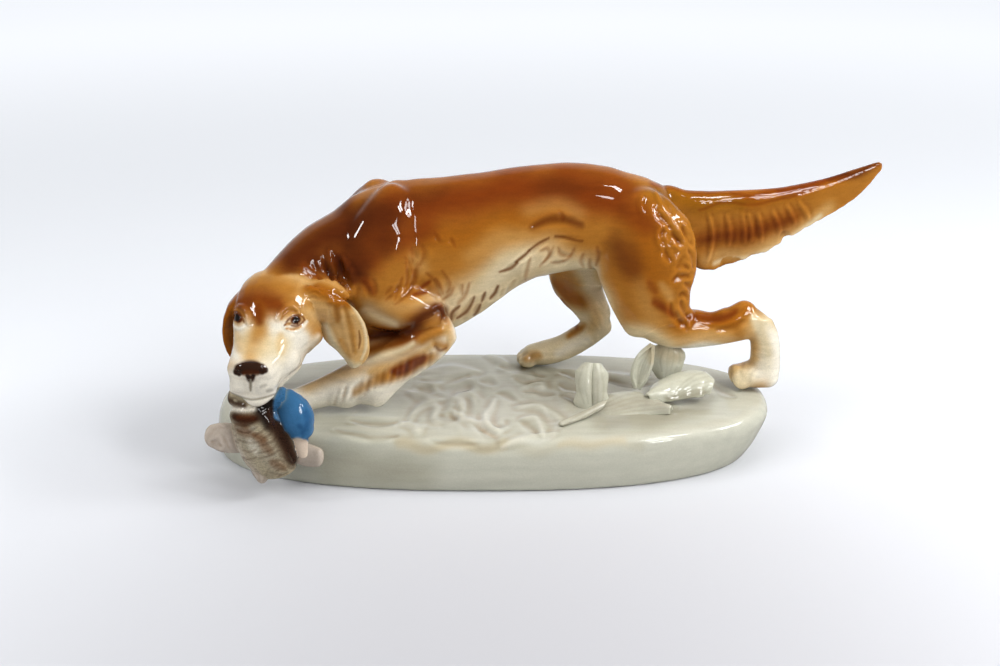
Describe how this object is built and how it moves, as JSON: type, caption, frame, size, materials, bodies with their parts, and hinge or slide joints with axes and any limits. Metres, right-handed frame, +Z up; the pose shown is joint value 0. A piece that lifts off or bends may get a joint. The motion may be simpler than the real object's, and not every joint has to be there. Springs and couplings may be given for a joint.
{
  "type": "porcelain dog figurine",
  "caption": "Glazed porcelain setter stalking over a hollow oval plinth, head turned to the viewer, with a wild duck in its jaws and a leafy twig behind its forelegs.",
  "frame": {"origin": "middle of the bounding box in x and y, on the table in z", "axes": "+Z up; the figurine's length lies along X, the dog walks towards -X; -Y faces the viewer"},
  "size_m": [0.378, 0.1474, 0.158],
  "materials": {
    "setter_glaze": "clear gloss glaze over sprayed underglaze browns on white porcelain",
    "pale_glaze": "clear gloss glaze over a pale grey-green wash",
    "duck_body_glaze": "clear gloss glaze over brushed browns and greys",
    "duck_head_glaze": "clear gloss glaze over slate blue"
  },
  "bodies": {
    "root": {"dog_trunk": "setter_glaze", "dog_head": "setter_glaze", "dog_ear_left": "setter_glaze", "dog_ear_right": "setter_glaze", "dog_foreleg_left": "setter_glaze", "dog_foreleg_right": "setter_glaze", "dog_hindleg_left": "setter_glaze", "dog_hindleg_right": "setter_glaze", "dog_tail": "setter_glaze", "duck_body": "duck_body_glaze", "duck_wing_left": "duck_body_glaze", "duck_wing_right": "duck_body_glaze", "duck_tail": "duck_body_glaze", "duck_head": "duck_head_glaze", "plinth": "pale_glaze", "leaf_flat": "pale_glaze", "leaf_curled": "pale_glaze", "leaf_upright": "pale_glaze", "leaf_narrow": "pale_glaze", "leaf_prop": "pale_glaze", "twig": "pale_glaze"}
  },
  "joints": []
}
